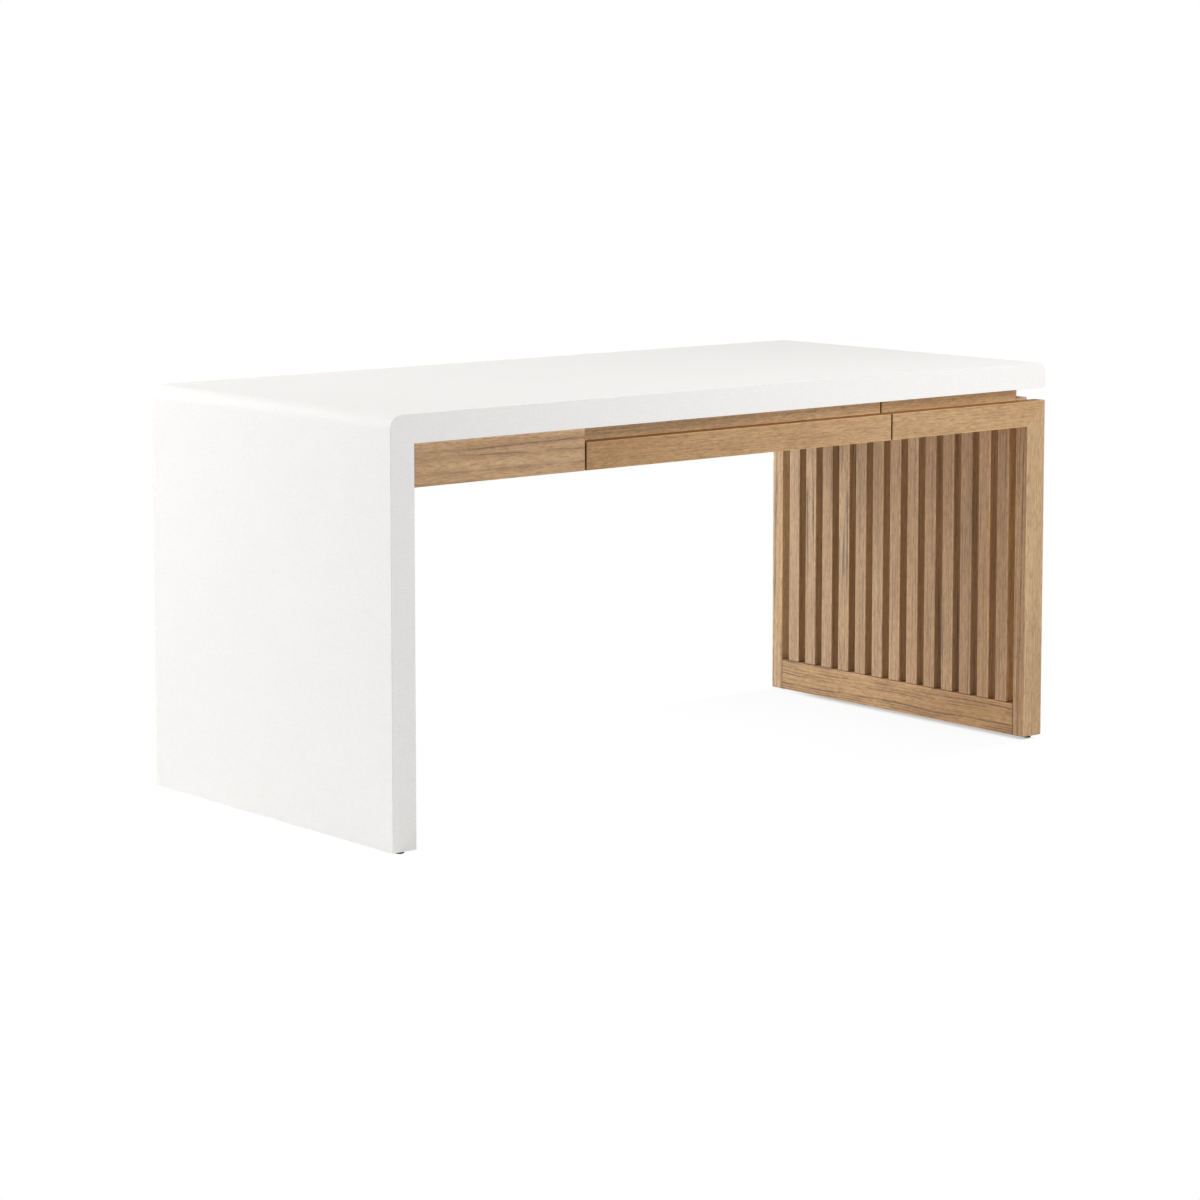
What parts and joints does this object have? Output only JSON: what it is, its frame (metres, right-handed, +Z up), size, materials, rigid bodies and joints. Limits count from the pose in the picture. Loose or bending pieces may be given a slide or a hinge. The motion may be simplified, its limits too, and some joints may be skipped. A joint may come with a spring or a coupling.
{
  "type": "writing desk",
  "caption": "Waterfall writing desk: white slab top folding into one leg, timber front with a finger-pull drawer, and an open slatted timber end.",
  "frame": {"origin": "centre of the footprint at floor level", "axes": "+X to the right along the width, +Y from the front to the back, +Z up"},
  "size_m": [1.61, 0.73, 0.75],
  "materials": {
    "shell_white": "matt white coating with a fine sand texture over a board core",
    "teak": "oiled light-brown solid timber, open pores, dark veins",
    "case_board": "veneered board, matt lacquer",
    "drawer_birch": "pale plywood, clear lacquer",
    "dowel_beech": "plain beech",
    "slide_steel": "zinc-plated rolled steel",
    "screw_steel": "zinc-plated steel",
    "insert_brass": "turned brass",
    "glide_nylon": "black nylon"
  },
  "bodies": {
    "desk": {"waterfall_shell": "shell_white", "frame_inserts": "insert_brass", "left_apron": "teak", "right_front_rail": "teak", "rear_rail": "teak", "front_post": "teak", "back_post": "teak", "end_bottom_rail": "teak", "end_top_rail": "teak", "right_fascia": "teak", "rear_fascia": "teak", "slat_01": "teak", "slat_02": "teak", "slat_03": "teak", "slat_04": "teak", "slat_05": "teak", "slat_06": "teak", "slat_07": "teak", "slat_08": "teak", "slat_09": "teak", "slat_10": "teak", "slat_11": "teak", "slat_12": "teak", "slat_13": "teak", "case_left_end": "case_board", "case_right_end": "case_board", "left_partition": "case_board", "right_partition": "case_board", "top_cleats": "case_board", "case_dowels": "dowel_beech", "mitre_spline_front": "dowel_beech", "mitre_spline_rear": "dowel_beech", "slide_outer_left": "slide_steel", "slide_outer_right": "slide_steel", "cleat_screws": "screw_steel", "leg_screws": "screw_steel", "rail_screws": "screw_steel", "frame_bolts": "screw_steel", "slide_screws_case": "screw_steel", "glide_front_left": "glide_nylon", "glide_front_right": "glide_nylon", "glide_back_left": "glide_nylon", "glide_back_right": "glide_nylon"},
    "drawer": {"drawer_front": "teak", "drawer_box_front": "teak", "drawer_left_side": "drawer_birch", "drawer_right_side": "drawer_birch", "drawer_back": "drawer_birch", "drawer_bottom": "drawer_birch", "slide_inner_left": "slide_steel", "slide_inner_right": "slide_steel", "drawer_front_screws": "screw_steel", "drawer_bottom_screws": "screw_steel", "slide_screws_drawer": "screw_steel"},
    "left_runner": {"slide_middle_left": "slide_steel"},
    "right_runner": {"slide_middle_right": "slide_steel"}
  },
  "joints": [
    {"name": "drawer_slide", "type": "slide", "parent": "desk", "child": "drawer", "axis": [0, -1, 0], "range_m": [0, 0.43]},
    {"name": "left_runner_slide", "type": "slide", "parent": "desk", "child": "left_runner", "axis": [0, -1, 0], "range_m": [0, 0.215]},
    {"name": "right_runner_slide", "type": "slide", "parent": "desk", "child": "right_runner", "axis": [0, -1, 0], "range_m": [0, 0.215]}
  ],
  "couplings": [
    {"joint": "left_runner_slide", "follows": "drawer_slide", "ratio": 0.5},
    {"joint": "right_runner_slide", "follows": "drawer_slide", "ratio": 0.5}
  ]
}
